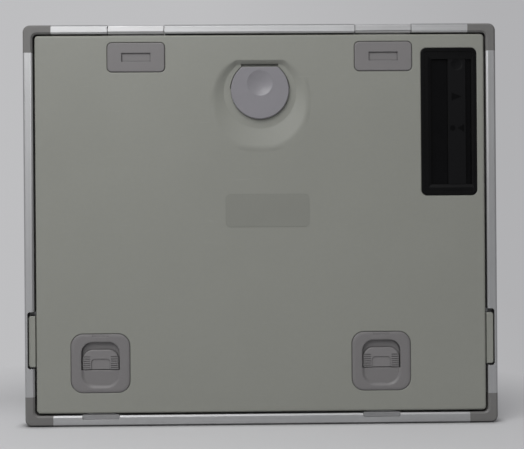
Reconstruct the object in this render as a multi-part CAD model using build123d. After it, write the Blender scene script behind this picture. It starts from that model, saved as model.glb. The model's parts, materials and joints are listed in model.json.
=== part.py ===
from build123d import *
import os

os.makedirs("parts", exist_ok=True)

# X-ray film cassette with a hinged lid, an identification window, a card clip and two slide latches.
# Millimetres. +X runs right along the hinge rail, +Z up from the bottom edge, and the lid faces -Y.
# The origin is the middle of the bottom edge. "Inset" is always measured inward from an outer edge.

# ---------------------------------------------------------------- film and outer frame
FILM_W = 304.8              # 12 inch film edge, along X
FILM_H = 254.0              # 10 inch film edge, along Z
FILM_PLAY_X = 0.6           # film to ledge, each side
FILM_PLAY_Z = 1.0
BAND = 10.5                 # outer face of a rail to the film opening
THICKNESS = 15.0

RAIL_FACE = 6.6             # visible width of a side rail beside the lid
HEAD_FACE = 6.1             # and of the hinge rail above it
SILL_FACE = 7.4             # and of the bottom rail
RAIL_WALL = 1.3             # walls of the hollow rail
LEDGE_T = 1.2               # ledge that carries the seal
PANEL_T = 1.3               # tube side panel
PANEL_PLAY = 0.1            # panel in its groove
PANEL_GROOVE_INSET = 3.0
PANEL_EDGE_PLAY = 0.2
BACK_LIP_T = 1.3
BACK_LIP_INSET = 9.5
OUTER_BEVEL = 1.2
INNER_BEVEL = 1.1
BACK_BEVEL = 0.8
BACK_LIP_BEVEL = 0.6
CORNER_R = 4.8              # outer corner of a corner cap
OPENING_R = 3.2             # corner of the lid recess
CAP_ARM = 19.4              # length of a corner cap along the hinge rail or the bottom rail
CAP_HEAD_LEG = 19.0         # and down a side rail, from the top
CAP_SILL_LEG = 20.5         # and up a side rail, from the bottom
SPIGOT_L = 12.0             # part of the cap that plugs into the rail
SPIGOT_PLAY = 0.15

PORT_INSET = 3.5            # round port in the top rail: the hinge axis
PORT_DEPTH = 3.2            # port axis behind the front face
PORT_WEB = 2.4              # port axis to the cavity behind it
RUN_PLAY = 0.05             # radial clearance of the pins

# ---------------------------------------------------------------- lid
LID_SINK = 0.6              # lid face below the rail face
LID_SKIN = 1.6
LID_SKIRT = 1.6
LID_CORNER_R = 2.6
LID_EDGE = 0.8
GAP_SIDE = 1.4
GAP_TOP = 1.2
GAP_BOTTOM = 1.5
SEAL_T = 1.2
SEAL_PLAY = 0.4             # seal to the rail wall and to the ledge edge
SOFT_GAP = 0.3              # clearance of a soft piece on another body
WORKS_DEPTH = 3.0           # room for the latches between lid skin and backplate
BACKPLATE_T = 0.8
LEAD_T = 0.2
SCREEN_T = 0.75
FILM_SPACE = 0.15           # between the two screens
BACK_SCREEN_MARGIN = 0.8
POCKET_T = 0.8              # skin left under a plate that is let into the lid
PART_PLAY = 0.15            # hidden fits of the lid's parts
PLATE_GAP = 0.3             # joint line round a plate in its pocket

# ---------------------------------------------------------------- hinges
HINGE_INSET = 78.0
HINGE_SLOT = 39.5
HINGE_END_GAP = 0.5
HINGE_PIN_R = 1.25
PIN_BITE = 8.0              # pin held in the rail at each end of the slot
KNUCKLE_SINK = 0.4          # knuckle below the rail's outer face
KNUCKLE_WALL = 1.75
SLOT_R = 4.8                # swept room of the knuckle
LEAF_W = 33.0
LEAF_T = 1.4
LEAF_DROP = 32.0            # lower edge of the leaf below the top of the cassette
COVER_W = 39.7
COVER_H = 20.2
COVER_R = 3.2
COVER_DROP = 22.5           # cover centre below the top of the cassette
COVER_PROUD = 0.55          # plates above the lid face
COVER_BEVEL = 0.5
COVER_WELL_W = 20.0
COVER_WELL_H = 6.0
COVER_WELL_DEPTH = 0.9
HINGE_PAD = 1.2             # lid thickened under a hinge

# ---------------------------------------------------------------- latches
LATCH_LEFT_INSET = 52.1
LATCH_RIGHT_INSET = 80.8
LATCH_Z = 43.45
PLATE = 40.4                # square escutcheon
PLATE_R = 8.2
PLATE_BEVEL_W = 1.8
PLATE_BEVEL_H = 0.35
PRY_NOTCH_W = 11.0
PRY_NOTCH_H = 1.8
WINDOW_W = 26.4
WINDOW_TOP = 14.7           # window edges from the plate's centre
WINDOW_BOTTOM = -4.6
WINDOW_R = 7.8
CUP_WALL = 1.8
CUP_FLOOR_DEPTH = 2.9       # window floor below the plate face
CUP_FLOOR_T = 0.5
SCOOP_BOTTOM = -16.9
SCOOP_DEPTH = 1.2
SCOOP_DRAFT = 50.0
SCOOP_R = 9.0
BUTTON_PLAY = 0.7           # each side of the button in its window
BUTTON_GAP = 0.5            # under the button at rest
BUTTON_TRAVEL = 5.4
BUTTON_SINK = 0.7           # button face below the plate face
BUTTON_BACK_GAP = 0.2
BUTTON_EDGE = 0.5
BUTTON_R = 7.2
GRIP_W = 13.2               # smooth panel between the ribs
GRIP_H = 7.2
GRIP_R = 2.6
GRIP_DEPTH = 0.6
RIBS = 6
RIB_PITCH = 1.5
RIB_GROOVE = 0.6
RIB_DEPTH = 0.5
STEM_W = 8.0
STEM_H = 6.0
STEM_UP = 1.0               # stem above the button's lower edge
STEM_PLAY = 0.2
BOLT_T = 1.2
BOLT_W = 24.0
BOLT_TONGUE_W = 20.0
BOLT_ABOVE = 11.0           # bolt plate above the latch centre
BOLT_BELOW = 21.0
BOLT_TIP_INSET = 3.4        # tongue tip from the bottom edge
BOLT_GAP = 0.2              # bolt to cup, keeper and guides
GUIDE_T = 1.5
SPRING_WIRE = 0.8
SPRING_W = 12.0
SPRING_FOLDS = 4
SPRING_PITCH = 3.4
SPRING_STOP_T = 1.5
KEEPER_W = 25.2
KEEPER_INSET = 5.0          # keeper edge in the notch of the bottom rail
KEEPER_LIP = 0.7            # keeper past the rail face
KEEPER_SINK = 0.5
KEEPER_EAR = 2.0
KEEPER_TAIL_INSET = 2.0
KEEPER_CHAMFER = 0.8
NOTCH_PLAY = 0.2

# ---------------------------------------------------------------- lift tabs
TAB_Z = 58.7
TAB_L = 35.2
TAB_INSET = 2.6
TAB_SINK = 1.0              # below the lid face
TAB_T = 2.2
TAB_FOOT = 12.0             # part under the lid skin
TAB_R = 1.5
TAB_GROOVE_W = 0.8          # groove between the lid's edge and the ear
TAB_GROOVE_DEPTH = 1.4
TAB_NOTCH_INSET = 2.0
TAB_NOTCH_ABOVE = 2.9
TAB_NOTCH_BELOW = 1.3
TAB_NOTCH_R = 2.0
TAB_NOTCH_DEPTH = 7.0

# ---------------------------------------------------------------- card clip
DISC_DROP = 45.3            # disc centre below the top of the cassette
DISC_R = 20.1
DISC_FLAT = 15.9            # flat top above the disc centre
DISC_T = 2.0
DISC_SINK = -0.1
DISC_BEVEL = 0.5
DIMPLE_R = 8.9
DIMPLE_UP = 4.8
DIMPLE_DEPTH = 1.2
DISH_FOOT_R = 25.2
DISH_FOOT_DOWN = 1.5
DISH_FOOT_FLAT = 18.0
DISH_RIM_R = 33.0
DISH_RIM_DOWN = 8.0
DISH_RIM_FLAT = 20.6
DISH_DEPTH = 2.3
DISH_WALL = 1.2
DISH_CORNER_R = 4.0
CLIP_AXIS_UP = 2.0
CLIP_AXIS_DEPTH = 2.9       # axis behind the lid face
CLIP_PIN_R = 0.6
CLIP_BARREL_R = 1.3
CLIP_BARREL_W = 27.0
CLIP_EAR_W = 2.5
CLIP_SIDE_PLAY = 0.4
CLIP_WELL_DEPTH = 3.8       # well under the pressed half, behind the lid face
CLIP_WELL_R = 20.6
CLIP_WELL_DOWN = 1.0        # well edge below the clip axis
CLIP_THROAT_W = 25.5        # well above the flat edge of the disc
LEAF_SPRING_W = 8.0
LEAF_SPRING_T = 0.3
LEAF_SPRING_L = 8.0

# ---------------------------------------------------------------- identification window
ID_W = 38.4
ID_H = 102.0
ID_R = 3.8
ID_INSET = 32.6             # housing centre from the right edge
ID_DROP = 68.1              # housing centre below the top
ID_PROUD = 0.3
ID_RIM_W = 2.2              # raised outer rim
ID_RIM_STEP = 0.5
ID_WELL_LEFT = 7.0
ID_WELL_RIGHT = 3.3
ID_WELL_END = 7.5
ID_BAND_W = 2.2             # sloped band round the well
ID_BAND_RIGHT = 1.0         # the band is narrower beside the right edge
ID_BAND_DEPTH = 0.9
ID_FLOOR_DEPTH = 2.9        # well floor behind the lid face
ID_TUB_MARGIN = 2.2
SHUTTER_LEFT = 18.9         # from the housing's left edge
SHUTTER_W = 12.1
SHUTTER_T = 1.85
SHUTTER_END_PLAY = 0.15
SHUTTER_TONGUE = 1.5
SHUTTER_TONGUE_T = 0.95
SHUTTER_TRAVEL = 10.5
SHUTTER_DIMPLE_R = 4.0
SHUTTER_DIMPLE_DROP = 11.1  # below the housing's top edge
SHUTTER_DIMPLE_DEPTH = 0.8
APERTURE_LAP = 2.0          # shutter over the aperture, each side
ID_CLIP_NOTCH_W = 12.5
ID_CLIP_NOTCH_H = 2.4
ID_CLIP_NOTCH_X = 22.2      # from the housing's left edge
ID_CLIP_NOTCH_UP = 2.3      # above the housing's bottom edge
ID_CLIP_NOTCH_DEPTH = 0.3   # below the rim's step
SLIDE_PLAY = 0.05

# ---------------------------------------------------------------- layers inside the lid
STANDOFF = 6.0              # square pads the backplate is bonded to
STANDOFF_INSET_X = 18.5
STANDOFF_INSET_BOTTOM = 20.0
STANDOFF_INSET_TOP = 14.0
BACKPLATE_PLAY = 0.4
FOIL_MARGIN = 2.0

# ---------------------------------------------------------------- levels and edges that follow
WIDTH = FILM_W + 2 * (FILM_PLAY_X + BAND)
HEIGHT = FILM_H + 2 * (FILM_PLAY_Z + BAND)
RIGHT = WIDTH / 2
TOP = HEIGHT
MID_Z = HEIGHT / 2
FRONT = -THICKNESS / 2
BACK = THICKNESS / 2

LIP_FRONT = BACK - BACK_LIP_T
LEDGE_BACK = LIP_FRONT - PANEL_T - PANEL_PLAY
LEDGE_FRONT = LEDGE_BACK - LEDGE_T
SEAL_FRONT = LEDGE_FRONT - SEAL_T
CAVITY_FRONT = FRONT + RAIL_WALL

LID_FACE = FRONT + LID_SINK
LID_INNER = LID_FACE + LID_SKIN
POCKET = LID_INNER - POCKET_T
SKIRT_END = SEAL_FRONT - SOFT_GAP
LID_LEFT = -RIGHT + RAIL_FACE + GAP_SIDE
LID_RIGHT = -LID_LEFT
LID_BOTTOM = SILL_FACE + GAP_BOTTOM
LID_TOP = TOP - HEAD_FACE - GAP_TOP
BACKPLATE_FRONT = LID_INNER + WORKS_DEPTH
BACKPLATE_BACK = BACKPLATE_FRONT + BACKPLATE_T
LEAD_BACK = BACKPLATE_BACK + LEAD_T
FRONT_SCREEN_FRONT = LEDGE_BACK - SCREEN_T
BACK_SCREEN_BACK = FRONT_SCREEN_FRONT - FILM_SPACE
BACK_SCREEN_FRONT = BACK_SCREEN_BACK - SCREEN_T

AXIS_Y = FRONT + PORT_DEPTH
HINGE_Z = TOP - PORT_INSET
PORT_BORE_R = HINGE_PIN_R + RUN_PLAY
PLATE_FACE = LID_FACE - COVER_PROUD
LEAF_FRONT = LID_INNER + HINGE_PAD
LEAF_BACK = LEAF_FRONT + LEAF_T
CUP_FLOOR = PLATE_FACE + CUP_FLOOR_DEPTH
CUP_BACK = CUP_FLOOR + CUP_FLOOR_T
BOLT_FRONT = CUP_BACK + BOLT_GAP
BOLT_BACK = BOLT_FRONT + BOLT_T
BUTTON_FACE = PLATE_FACE + BUTTON_SINK
BUTTON_BACK = CUP_FLOOR - BUTTON_BACK_GAP
BUTTON_W = WINDOW_W - 2 * BUTTON_PLAY
BUTTON_BOTTOM = WINDOW_BOTTOM + BUTTON_GAP
BUTTON_TOP = WINDOW_TOP - BUTTON_TRAVEL
LATCHES = {"left": -RIGHT + LATCH_LEFT_INSET, "right": RIGHT - LATCH_RIGHT_INSET}
HINGES = {"left": -RIGHT + HINGE_INSET, "right": RIGHT - HINGE_INSET}
DISC_Z = TOP - DISC_DROP
CLIP_Z = DISC_Z + CLIP_AXIS_UP
CLIP_Y = LID_FACE + CLIP_AXIS_DEPTH
CLIP_REACH = CLIP_BARREL_W / 2 + CLIP_SIDE_PLAY + CLIP_EAR_W
DISC_FACE = LID_FACE + DISC_SINK
DISC_BACK = DISC_FACE + DISC_T
DISH_FLOOR = LID_FACE + DISH_DEPTH
CLIP_WELL_FLOOR = LID_FACE + CLIP_WELL_DEPTH
ID_X = RIGHT - ID_INSET
ID_Z = TOP - ID_DROP
ID_LEFT = ID_X - ID_W / 2
ID_TOP = ID_Z + ID_H / 2
ID_FACE = LID_FACE - ID_PROUD
ID_FLOOR = LID_FACE + ID_FLOOR_DEPTH


# ---------------------------------------------------------------- small helpers
def slab(outline, front, back):
    """Solid between the planes y = front and y = back, from an outline drawn in X and Z."""
    return extrude(Plane.XZ.offset(-back) * outline, back - front)


def panel(x, z, width, height, radius=0.0):
    """Outline of a plate centred at x, z."""
    corner = min(radius, 0.49 * width, 0.49 * height)
    shape = RectangleRounded(width, height, corner) if corner > 0 else Rectangle(width, height)
    return Pos(x, z) * shape


def span(x0, x1, z0, z1, radius=0.0):
    """Outline of a plate between two edges each way."""
    return panel((x0 + x1) / 2, (z0 + z1) / 2, x1 - x0, z1 - z0, radius)


def arch(width, bottom, top, radius):
    """Outline with a straight bottom edge and two rounded top corners."""
    outline = span(-width / 2, width / 2, bottom, top)
    return fillet(outline.vertices().sort_by(Axis.Y)[-2:], radius)


def block(x0, x1, y0, y1, z0, z1):
    """Box between two planes each way."""
    return Pos(x0, y0, z0) * Box(x1 - x0, y1 - y0, z1 - z0, align=(Align.MIN, Align.MIN, Align.MIN))


def inset(distance, radius=0.0):
    """Outline of the whole cassette, moved inward by a distance."""
    return span(-RIGHT + distance, RIGHT - distance, distance, TOP - distance, radius)


def recess(distance, radius):
    """Outline of the frame's recess for the lid, moved inward by a distance."""
    return span(-RIGHT + RAIL_FACE + distance, RIGHT - RAIL_FACE - distance,
                SILL_FACE + distance, TOP - HEAD_FACE - distance, radius)


def lid_outline(shrink, radius):
    """Outline of the lid, moved inward by a distance."""
    return span(LID_LEFT + shrink, LID_RIGHT - shrink, LID_BOTTOM + shrink, LID_TOP - shrink, radius)


def rod_x(x0, x1, y, z, radius):
    """Cylinder along X."""
    return Pos(x0, y, z) * Rot(0, 90, 0) * Cylinder(
        radius, x1 - x0, align=(Align.CENTER, Align.CENTER, Align.MIN))


def dimple(x, z, face, radius, depth):
    """Ball whose cap is a round hollow in a face that looks along -Y."""
    ball = (radius ** 2 + depth ** 2) / (2 * depth)
    return Pos(x, face + depth - ball, z) * Sphere(ball)


def front_face(solid):
    return solid.faces().filter_by(Axis.Y).sort_by(Axis.Y)[0]


def back_face(solid):
    return solid.faces().filter_by(Axis.Y).sort_by(Axis.Y)[-1]


def mirrored(solid):
    """The same piece on the other side of the middle."""
    return mirror(solid, about=Plane.YZ)


def save(node, piece):
    """Write one node, a single solid."""
    solid = piece.solid()
    solid.label = node
    export_step(solid, f"parts/{node}.step")


# ---------------------------------------------------------------- frame: rails and corner caps
def frame_ring():
    """The rail section carried round all four corners, still without its cavity."""
    ring = slab(inset(0, CORNER_R), FRONT, BACK)
    ring -= slab(recess(0, OPENING_R), FRONT, LEDGE_FRONT)
    ring -= slab(inset(BAND), LEDGE_FRONT, LEDGE_BACK)
    ring -= slab(inset(PANEL_GROOVE_INSET), LEDGE_BACK, LIP_FRONT)
    ring -= slab(inset(BACK_LIP_INSET), LIP_FRONT, BACK)
    ring = chamfer(front_face(ring).outer_wire().edges(), OUTER_BEVEL)
    ring = chamfer(front_face(ring).inner_wires()[0].edges(), INNER_BEVEL)
    ring = chamfer(back_face(ring).outer_wire().edges(), BACK_BEVEL)
    return chamfer(back_face(ring).inner_wires()[0].edges(), BACK_LIP_BEVEL)


def keeper_outline(grow, low):
    """Front of a keeper, with chamfered ends, from a height up to past the rail face."""
    high = SILL_FACE + KEEPER_LIP
    outline = span(-KEEPER_W / 2 - grow, KEEPER_W / 2 + grow, low - grow, high)
    return chamfer(outline.vertices().sort_by(Axis.Y)[:2], KEEPER_CHAMFER)


def rail_bottom(ring):
    rail = ring & block(-RIGHT + CAP_ARM, RIGHT - CAP_ARM, FRONT, BACK, 0, BAND)
    rail -= block(-RIGHT, RIGHT, CAVITY_FRONT, LEDGE_FRONT, RAIL_WALL, SILL_FACE - RAIL_WALL)
    pocket = block(-KEEPER_W / 2 - KEEPER_EAR - NOTCH_PLAY, KEEPER_W / 2 + KEEPER_EAR + NOTCH_PLAY,
                   CAVITY_FRONT, BOLT_BACK + 2 * BOLT_GAP,
                   KEEPER_TAIL_INSET - NOTCH_PLAY, SILL_FACE + RAIL_WALL)
    notch = slab(keeper_outline(NOTCH_PLAY, KEEPER_INSET), FRONT, CAVITY_FRONT)
    for x in LATCHES.values():
        rail -= Pos(x, 0, 0) * (pocket + notch)
    return rail


def rail_top(ring):
    rail = ring & block(-RIGHT + CAP_ARM, RIGHT - CAP_ARM, FRONT, BACK, TOP - BAND, TOP)
    rail -= block(-RIGHT, RIGHT, AXIS_Y + PORT_WEB, LEDGE_FRONT, TOP - HEAD_FACE + RAIL_WALL, TOP - RAIL_WALL)
    rail -= rod_x(-RIGHT, RIGHT, AXIS_Y, HINGE_Z, PORT_BORE_R)
    for x in HINGES.values():
        x0, x1 = x - HINGE_SLOT / 2, x + HINGE_SLOT / 2
        rail -= block(x0, x1, FRONT, AXIS_Y, TOP - HEAD_FACE, TOP)
        rail -= rod_x(x0, x1, AXIS_Y, HINGE_Z, SLOT_R)
    return rail


def rail_right(ring):
    rail = ring & block(RIGHT - BAND, RIGHT, FRONT, BACK, CAP_SILL_LEG, TOP - CAP_HEAD_LEG)
    rail -= block(RIGHT - RAIL_FACE + RAIL_WALL, RIGHT - RAIL_WALL, CAVITY_FRONT, LEDGE_FRONT, 0, TOP)
    notch = span(RIGHT - BAND, RIGHT - TAB_NOTCH_INSET,
                 TAB_Z - TAB_L / 2 - TAB_NOTCH_BELOW, TAB_Z + TAB_L / 2 + TAB_NOTCH_ABOVE, TAB_NOTCH_R)
    return rail - slab(notch, FRONT, FRONT + TAB_NOTCH_DEPTH)


def corner_right(ring, at_top):
    """Right-hand corner cap, with a plug for the cavity of each rail behind the hinge port."""
    front = AXIS_Y + PORT_WEB + SPIGOT_PLAY
    back = LEDGE_FRONT - SPIGOT_PLAY
    wall = RAIL_WALL + SPIGOT_PLAY
    arm = RIGHT - CAP_ARM
    if at_top:
        cap = ring & block(arm, RIGHT, FRONT, BACK, TOP - CAP_HEAD_LEG, TOP)
        cap += block(arm - SPIGOT_L, arm, front, back, TOP - HEAD_FACE + wall, TOP - wall)
        low = TOP - CAP_HEAD_LEG - SPIGOT_L
    else:
        cap = ring & block(arm, RIGHT, FRONT, BACK, 0, CAP_SILL_LEG)
        cap += block(arm - SPIGOT_L, arm, front, back, wall, SILL_FACE - wall)
        low = CAP_SILL_LEG
    return cap + block(RIGHT - RAIL_FACE + wall, RIGHT - wall, front, back, low, low + SPIGOT_L)


def latch_keeper(x):
    """Steel keeper under the front wall of the bottom rail; the bolt runs behind it."""
    back = BOLT_FRONT - BOLT_GAP
    pad = slab(keeper_outline(0, KEEPER_INSET), FRONT + KEEPER_SINK, back)
    flange = block(-KEEPER_W / 2 - KEEPER_EAR, KEEPER_W / 2 + KEEPER_EAR,
                   CAVITY_FRONT, back, KEEPER_TAIL_INSET, SILL_FACE - NOTCH_PLAY)
    return Pos(x, 0, 0) * (pad + flange)


def hinge_pin(x):
    reach = HINGE_SLOT / 2 + PIN_BITE
    return rod_x(x - reach, x + reach, AXIS_Y, HINGE_Z, HINGE_PIN_R)


def tube_side_panel():
    return slab(inset(PANEL_GROOVE_INSET + PANEL_EDGE_PLAY), LEDGE_BACK, LEDGE_BACK + PANEL_T)


def light_seal():
    strip = recess(SEAL_PLAY, OPENING_R - SEAL_PLAY) - inset(BAND - SEAL_PLAY)
    return slab(strip, SEAL_FRONT, LEDGE_FRONT)


def front_screen():
    return slab(panel(0, MID_Z, FILM_W, FILM_H), FRONT_SCREEN_FRONT, LEDGE_BACK)


# ---------------------------------------------------------------- lid shell
def flat_topped(down, radius, flat):
    """Round outline cut flat at the top, set out from the disc centre."""
    round_part = Pos(0, DISC_Z - down) * Circle(radius)
    height = 2 * radius
    cut = Pos(0, DISC_Z + flat + height / 2) * Rectangle(4 * radius, height)
    outline = round_part - cut
    return fillet(outline.vertices().sort_by(Axis.Y)[-2:], DISH_CORNER_R)


def dish():
    """Funnel from the rim at the lid face down to the flat foot under the disc."""
    rim = flat_topped(DISH_RIM_DOWN, DISH_RIM_R, DISH_RIM_FLAT)
    foot = flat_topped(DISH_FOOT_DOWN, DISH_FOOT_R, DISH_FOOT_FLAT)
    return loft([Plane.XZ.offset(-LID_FACE) * rim, Plane.XZ.offset(-DISH_FLOOR) * foot])


def clip_well():
    """Room behind the part of the disc that is pressed in, with a throat for the card above it."""
    room = span(-CLIP_WELL_R, CLIP_WELL_R, CLIP_Z - CLIP_WELL_DOWN, DISC_Z + DISC_FLAT)
    throat = span(-CLIP_THROAT_W / 2, CLIP_THROAT_W / 2, CLIP_Z, DISC_Z + DISH_FOOT_FLAT)
    return slab((room & Pos(0, DISC_Z) * Circle(CLIP_WELL_R)) + throat, DISH_FLOOR, CLIP_WELL_FLOOR)


def standoff_places():
    """Three columns by three rows, less the one under the window housing."""
    columns = (LID_LEFT + STANDOFF_INSET_X, 0, LID_RIGHT - STANDOFF_INSET_X)
    rows = (LID_BOTTOM + STANDOFF_INSET_BOTTOM, MID_Z, LID_TOP - STANDOFF_INSET_TOP)
    places = [(x, z) for x in columns for z in rows]
    clear = (ID_H + STANDOFF) / 2
    return [(x, z) for x, z in places if x < ID_LEFT or abs(z - ID_Z) > clear]


def lid_shell():
    lid = slab(lid_outline(0, LID_CORNER_R), LID_FACE, SKIRT_END)
    lid = chamfer(front_face(lid).edges(), LID_EDGE)
    lid -= slab(lid_outline(LID_SKIRT, LID_CORNER_R - LID_SKIRT), LID_INNER, SKIRT_END)

    lid += slab(span(-DISH_RIM_R, DISH_RIM_R, DISC_Z - DISH_RIM_DOWN - DISH_RIM_R, DISC_Z + DISH_RIM_FLAT),
                LID_INNER, DISH_FLOOR + DISH_WALL)
    lid += slab(span(-DISH_RIM_R, DISH_RIM_R, CLIP_Z - CLIP_WELL_DOWN - DISH_WALL, DISC_Z + DISH_RIM_FLAT),
                LID_INNER, BACKPLATE_FRONT)
    lid -= dish()
    lid -= clip_well()
    lid += clip_ear(-1) + clip_ear(1)
    lid -= clip_barrel_room()
    lid -= rod_x(-CLIP_REACH, CLIP_REACH, CLIP_Y, CLIP_Z, CLIP_PIN_R + RUN_PLAY)

    for x in HINGES.values():
        lid += block(x - COVER_W / 2, x + COVER_W / 2, LID_INNER, LEAF_FRONT,
                     TOP - LEAF_DROP, LID_TOP - LID_SKIRT)
        lid -= slab(panel(x, TOP - COVER_DROP, COVER_W + 2 * PLATE_GAP, COVER_H + 2 * PLATE_GAP,
                          COVER_R + PLATE_GAP), LID_FACE, POCKET)
        lid -= block(x - LEAF_W / 2 - PART_PLAY, x + LEAF_W / 2 + PART_PLAY,
                     LEAF_FRONT, LEAF_BACK + PART_PLAY, LID_TOP - LID_SKIRT, LID_TOP)

    for x in LATCHES.values():
        lid -= Pos(x, 0, LATCH_Z) * slab(panel(0, 0, PLATE + 2 * PLATE_GAP, PLATE + 2 * PLATE_GAP,
                                               PLATE_R + PLATE_GAP), LID_FACE, POCKET)
        lid -= Pos(x, 0, LATCH_Z) * slab(cup_outline(PART_PLAY), POCKET, LID_INNER)
        stop = LATCH_Z + BOLT_ABOVE + SPRING_FOLDS * SPRING_PITCH
        lid += block(x - SPRING_W / 2, x + SPRING_W / 2, LID_INNER, BACKPLATE_FRONT,
                     stop, stop + SPRING_STOP_T)
        lid -= block(x - BOLT_TONGUE_W / 2 - BOLT_GAP, x + BOLT_TONGUE_W / 2 + BOLT_GAP,
                     BOLT_FRONT - BOLT_GAP, BOLT_BACK + BOLT_GAP, LID_BOTTOM, LID_BOTTOM + LID_SKIRT)

    lid -= slab(panel(ID_X, ID_Z, ID_W + 2 * PLATE_GAP, ID_H + 2 * PLATE_GAP, ID_R + PLATE_GAP),
                LID_FACE, POCKET)
    lid -= slab(id_tub_outline(PART_PLAY), POCKET, LID_INNER)

    for x, z in standoff_places():
        lid += slab(panel(x, z, STANDOFF, STANDOFF), LID_INNER, BACKPLATE_FRONT)

    for side in (-1, 1):
        edge = side * LID_RIGHT
        inner = side * (LID_RIGHT - LID_SKIRT)
        lid -= block(min(edge, inner), max(edge, inner), LID_INNER, LID_FACE + TAB_SINK + TAB_T,
                     TAB_Z - TAB_L / 2 - PART_PLAY, TAB_Z + TAB_L / 2 + PART_PLAY)
    return lid


def lift_tab():
    """Ear beside the right rail, set off from the lid by a groove, and its foot under the lid skin."""
    front = LID_FACE + TAB_SINK
    back = front + TAB_T
    ear = slab(span(LID_RIGHT, RIGHT - TAB_INSET, TAB_Z - TAB_L / 2, TAB_Z + TAB_L / 2), front, back)
    ear = fillet(ear.edges().filter_by(Axis.Y).group_by(Axis.X)[-1], TAB_R)
    ear -= block(LID_RIGHT, LID_RIGHT + TAB_GROOVE_W, front, front + TAB_GROOVE_DEPTH,
                 TAB_Z - TAB_L / 2, TAB_Z + TAB_L / 2)
    foot = block(LID_RIGHT - TAB_FOOT, LID_RIGHT, LID_INNER, back, TAB_Z - TAB_L / 2, TAB_Z + TAB_L / 2)
    return ear + foot


# ---------------------------------------------------------------- hinges
def hinge_leaf(ring, x):
    """Knuckle with the rail's own section in front of the pin, and the leaf that goes under the lid."""
    half = HINGE_SLOT / 2 - HINGE_END_GAP
    knuckle = ring & block(x - half, x + half, FRONT, AXIS_Y, TOP - HEAD_FACE, TOP - KNUCKLE_SINK)
    knuckle += rod_x(x - half, x + half, AXIS_Y, HINGE_Z, PORT_BORE_R + KNUCKLE_WALL)
    leaf = knuckle + block(x - LEAF_W / 2, x + LEAF_W / 2, LEAF_FRONT, LEAF_BACK, TOP - LEAF_DROP, HINGE_Z)
    leaf -= rod_x(x - half, x + half, AXIS_Y, HINGE_Z, PORT_BORE_R)
    return leaf


def hinge_cover(x):
    z = TOP - COVER_DROP
    cover = slab(panel(x, z, COVER_W, COVER_H, COVER_R), PLATE_FACE, POCKET)
    cover = chamfer(front_face(cover).edges(), COVER_BEVEL)
    return cover - slab(panel(x, z, COVER_WELL_W, COVER_WELL_H), PLATE_FACE, PLATE_FACE + COVER_WELL_DEPTH)


# ---------------------------------------------------------------- latches, drawn about their own centre
def cup_outline(grow):
    """Outline of the moulded cup behind the window and the finger scoop."""
    wall = CUP_WALL + grow
    return span(-WINDOW_W / 2 - wall, WINDOW_W / 2 + wall, SCOOP_BOTTOM - wall, WINDOW_TOP + wall)


def finger_scoop():
    """Shallow dished recess under the button, open to the window."""
    outline = span(-WINDOW_W / 2, WINDOW_W / 2, SCOOP_BOTTOM, WINDOW_BOTTOM + SCOOP_R, SCOOP_R)
    return extrude(Plane.XZ.offset(-PLATE_FACE) * outline, -SCOOP_DEPTH, taper=SCOOP_DRAFT)


def latch_plate():
    """Escutcheon let into the lid: window for the button, scoop, and a slot for the button's stem."""
    plate = slab(panel(0, 0, PLATE, PLATE, PLATE_R), PLATE_FACE, POCKET)
    face = front_face(plate)
    plate = chamfer(face.edges(), PLATE_BEVEL_W, PLATE_BEVEL_H, reference=face)
    plate += slab(cup_outline(0), POCKET, CUP_BACK)
    plate -= finger_scoop()
    plate -= slab(arch(WINDOW_W, WINDOW_BOTTOM, WINDOW_TOP, WINDOW_R), PLATE_FACE, CUP_FLOOR)
    slot_low = BUTTON_BOTTOM + STEM_UP - STEM_PLAY
    slot_high = BUTTON_BOTTOM + STEM_UP + STEM_H + BUTTON_TRAVEL + STEM_PLAY
    slot_half = STEM_W / 2 + STEM_PLAY
    plate -= block(-slot_half, slot_half, CUP_FLOOR, CUP_BACK, slot_low, slot_high)
    plate -= slab(panel(0, (PLATE - PRY_NOTCH_H) / 2, PRY_NOTCH_W, PRY_NOTCH_H),
                  PLATE_FACE, PLATE_FACE + PLATE_BEVEL_H)
    inner = BOLT_W / 2 + BOLT_GAP
    for side in (-1, 1):
        low, high = sorted((side * inner, side * (inner + GUIDE_T)))
        plate += block(low, high, CUP_BACK, BOLT_BACK, SCOOP_BOTTOM, WINDOW_TOP - WINDOW_R)
    return plate


def latch_button():
    button = slab(arch(BUTTON_W, BUTTON_BOTTOM, BUTTON_TOP, BUTTON_R), BUTTON_FACE, BUTTON_BACK)
    rim = front_face(button).edges().sort_by(Axis.Z)[1:]
    button = chamfer(rim, BUTTON_EDGE)
    button -= slab(arch(GRIP_W, BUTTON_BOTTOM, BUTTON_BOTTOM + GRIP_H, GRIP_R),
                   BUTTON_FACE, BUTTON_FACE + GRIP_DEPTH)
    inner = GRIP_W / 2 + RIB_GROOVE
    for side in (-1, 1):
        low, high = sorted((side * inner, side * BUTTON_W / 2))
        for rib in range(RIBS):
            z = BUTTON_BOTTOM + (rib + 0.5) * RIB_PITCH
            button -= block(low, high, BUTTON_FACE, BUTTON_FACE + RIB_DEPTH, z, z + RIB_GROOVE)
    stem_low = BUTTON_BOTTOM + STEM_UP
    return button + block(-STEM_W / 2, STEM_W / 2, BUTTON_BACK, BOLT_FRONT, stem_low, stem_low + STEM_H)


def latch_bolt():
    """Sheet steel slide: a broad plate behind the cup and a tongue through the lid's lower edge."""
    tip = BOLT_TIP_INSET - LATCH_Z
    tongue = span(-BOLT_TONGUE_W / 2, BOLT_TONGUE_W / 2, tip, 0)
    tongue = chamfer(tongue.vertices().sort_by(Axis.Y)[:2], BOLT_T)
    outline = span(-BOLT_W / 2, BOLT_W / 2, -BOLT_BELOW, BOLT_ABOVE) + tongue
    return slab(outline, BOLT_FRONT, BOLT_BACK)


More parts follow.
